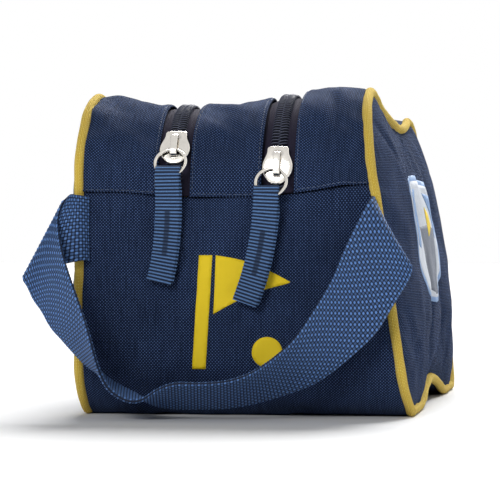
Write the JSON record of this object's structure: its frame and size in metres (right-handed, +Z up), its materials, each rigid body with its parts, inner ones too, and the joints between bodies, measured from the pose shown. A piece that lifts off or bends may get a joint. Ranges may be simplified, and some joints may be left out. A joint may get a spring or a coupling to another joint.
{
  "type": "golf shoe bag",
  "caption": "Padded fabric shoe bag with piped waisted sides, two zipped compartments, pull tabs on rings, and a webbing handle on one end.",
  "frame": {"origin": "middle of the object's box on the floor, handle included", "axes": "+Z up, -Y towards the end with the handle, +X towards the printed leaning side"},
  "size_m": [0.2258, 0.398, 0.1906],
  "materials": {
    "navy_fabric": "plain weave polyester, padded",
    "lining": "thin plain weave",
    "piping": "woven over a cord",
    "binding": "woven tape",
    "zip_tape": "herringbone tape",
    "zip_coil": "moulded nylon coil",
    "nickel": "polished nickel plate",
    "grosgrain": "ribbed grosgrain",
    "webbing": "heavy plain-woven webbing",
    "yellow_print": "heat-transfer film",
    "white_print": "heat-transfer film"
  },
  "bodies": {
    "bag": {"compartment_divider": "lining", "end_print": "yellow_print", "handle_end_left": "webbing", "handle_end_right": "webbing", "lower_gusset": "navy_fabric", "piping_left": "piping", "piping_right": "piping", "seam_binding_left": "binding", "seam_binding_right": "binding", "side_panel_left": "navy_fabric", "side_panel_right": "navy_fabric", "side_print": "white_print", "zip_gusset_centre": "navy_fabric", "zip_gusset_left": "navy_fabric", "zip_gusset_right": "navy_fabric", "zip_left_coil_left": "zip_coil", "zip_left_coil_right": "zip_coil", "zip_left_stops": "zip_coil", "zip_left_tape_left": "zip_tape", "zip_left_tape_right": "zip_tape", "zip_right_coil_left": "zip_coil", "zip_right_coil_right": "zip_coil", "zip_right_stops": "zip_coil", "zip_right_tape_left": "zip_tape", "zip_right_tape_right": "zip_tape"},
    "zip_slider_left": {"slider_left": "nickel"},
    "zip_slider_right": {"slider_right": "nickel"},
    "ring_left": {"pull_ring_left": "nickel"},
    "ring_right": {"pull_ring_right": "nickel"},
    "tab_left": {"pull_tab_left": "grosgrain"},
    "tab_right": {"pull_tab_right": "grosgrain"},
    "handle": {"handle_loop": "webbing"}
  },
  "joints": [
    {"name": "zip_left_travel", "type": "hinge", "parent": "bag", "child": "zip_slider_left", "pos_m": [-0.0325, -0.0934, 0.13], "axis": [-1, 0, 0], "range_deg": [0, 61]},
    {"name": "zip_right_travel", "type": "hinge", "parent": "bag", "child": "zip_slider_right", "pos_m": [0.0285, -0.0874, 0.13], "axis": [-1, 0, 0], "range_deg": [0, 74]},
    {"name": "ring_left_swing", "type": "hinge", "parent": "zip_slider_left", "child": "ring_left", "pos_m": [-0.0325, -0.14607, 0.15535], "axis": [-0.9925, 0.0646, 0.1034], "range_deg": [0, 110]},
    {"name": "ring_right_swing", "type": "hinge", "parent": "zip_slider_right", "child": "ring_right", "pos_m": [0.0285, -0.15039, 0.14362], "axis": [-0.9563, 0.1373, 0.2581], "range_deg": [0, 110]},
    {"name": "tab_left_swing", "type": "hinge", "parent": "ring_left", "child": "tab_left", "pos_m": [-0.03469, -0.15554, 0.1402], "axis": [-0.999, 0, 0.0436], "range_deg": [0, 75]},
    {"name": "tab_right_swing", "type": "hinge", "parent": "ring_right", "child": "tab_right", "pos_m": [0.02324, -0.15848, 0.12842], "axis": [-0.989, 0, 0.1478], "range_deg": [0, 75]},
    {"name": "handle_swing", "type": "hinge", "parent": "bag", "child": "handle", "pos_m": [0, -0.1524, 0.112], "axis": [-1, 0, 0], "range_deg": [0, 70]}
  ]
}
